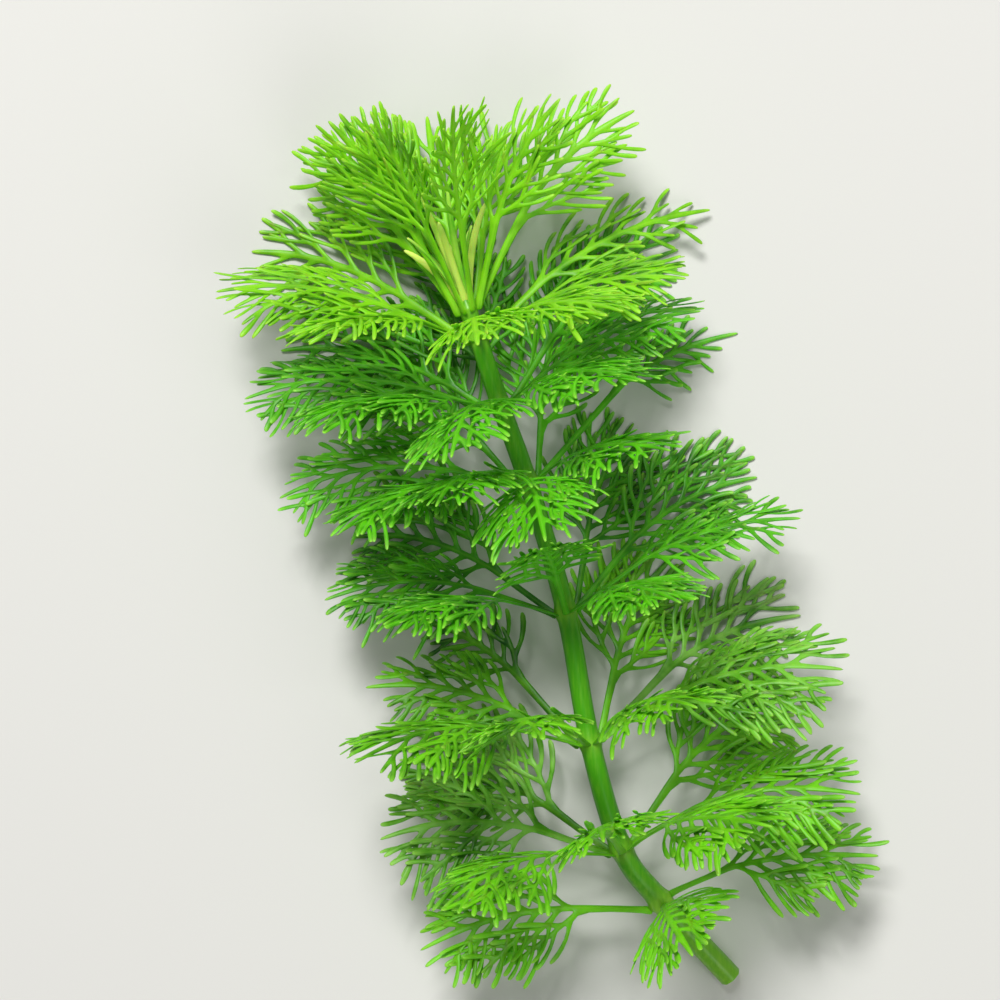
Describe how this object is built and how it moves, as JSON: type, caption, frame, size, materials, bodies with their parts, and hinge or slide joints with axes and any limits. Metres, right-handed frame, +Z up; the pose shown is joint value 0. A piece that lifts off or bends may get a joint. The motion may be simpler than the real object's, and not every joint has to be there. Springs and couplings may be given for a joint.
{
  "type": "limnophila stem",
  "caption": "Cut stem of a water plant with whorls of finely divided feathery leaves, lying on its back leaves on a surface.",
  "frame": {"origin": "middle of the plant's footprint on the surface it lies on", "axes": "+Z up from the surface, +Y along the stem from its cut end to its growing tip, +X to the right of it"},
  "size_m": [0.0996, 0.1364, 0.0466],
  "materials": {
    "stem": "smooth fresh green stem, a little glossy",
    "young_leaf": "pale yellow-green folded young leaves",
    "leaf": "bright fresh green leaf",
    "old_leaf": "duller olive green leaf of the lower whorls"
  },
  "bodies": {
    "root": {"stem": "stem", "shoot_tip": "young_leaf", "whorl_1_leaf_1": "leaf", "whorl_1_leaf_2": "leaf", "whorl_1_leaf_3": "leaf", "whorl_1_leaf_4": "leaf", "whorl_1_leaf_5": "leaf", "whorl_1_leaf_6": "leaf", "whorl_1_leaf_7": "leaf", "whorl_1_leaf_8": "leaf", "whorl_2_leaf_1": "leaf", "whorl_2_leaf_2": "leaf", "whorl_2_leaf_3": "leaf", "whorl_2_leaf_4": "leaf", "whorl_2_leaf_5": "leaf", "whorl_2_leaf_6": "leaf", "whorl_2_leaf_7": "leaf", "whorl_2_leaf_8": "leaf", "whorl_3_leaf_1": "leaf", "whorl_3_leaf_2": "leaf", "whorl_3_leaf_3": "leaf", "whorl_3_leaf_4": "leaf", "whorl_3_leaf_5": "leaf", "whorl_3_leaf_6": "leaf", "whorl_3_leaf_7": "leaf", "whorl_3_leaf_8": "leaf", "whorl_4_leaf_1": "leaf", "whorl_4_leaf_2": "leaf", "whorl_4_leaf_3": "leaf", "whorl_4_leaf_4": "leaf", "whorl_4_leaf_5": "leaf", "whorl_4_leaf_6": "leaf", "whorl_4_leaf_7": "leaf", "whorl_4_leaf_8": "leaf", "whorl_5_leaf_1": "leaf", "whorl_5_leaf_2": "leaf", "whorl_5_leaf_3": "leaf", "whorl_5_leaf_4": "leaf", "whorl_5_leaf_5": "leaf", "whorl_5_leaf_6": "leaf", "whorl_5_leaf_7": "leaf", "whorl_5_leaf_8": "leaf", "whorl_6_leaf_1": "old_leaf", "whorl_6_leaf_2": "old_leaf", "whorl_6_leaf_3": "old_leaf", "whorl_6_leaf_4": "old_leaf", "whorl_6_leaf_5": "old_leaf", "whorl_6_leaf_6": "old_leaf", "whorl_6_leaf_7": "old_leaf", "whorl_6_leaf_8": "old_leaf", "whorl_7_leaf_1": "old_leaf", "whorl_7_leaf_2": "old_leaf", "whorl_7_leaf_3": "old_leaf", "whorl_7_leaf_4": "old_leaf", "whorl_7_leaf_5": "old_leaf", "whorl_7_leaf_6": "old_leaf", "whorl_7_leaf_7": "old_leaf", "whorl_8_leaf_1": "old_leaf", "whorl_8_leaf_2": "old_leaf", "whorl_8_leaf_3": "old_leaf"}
  },
  "joints": []
}
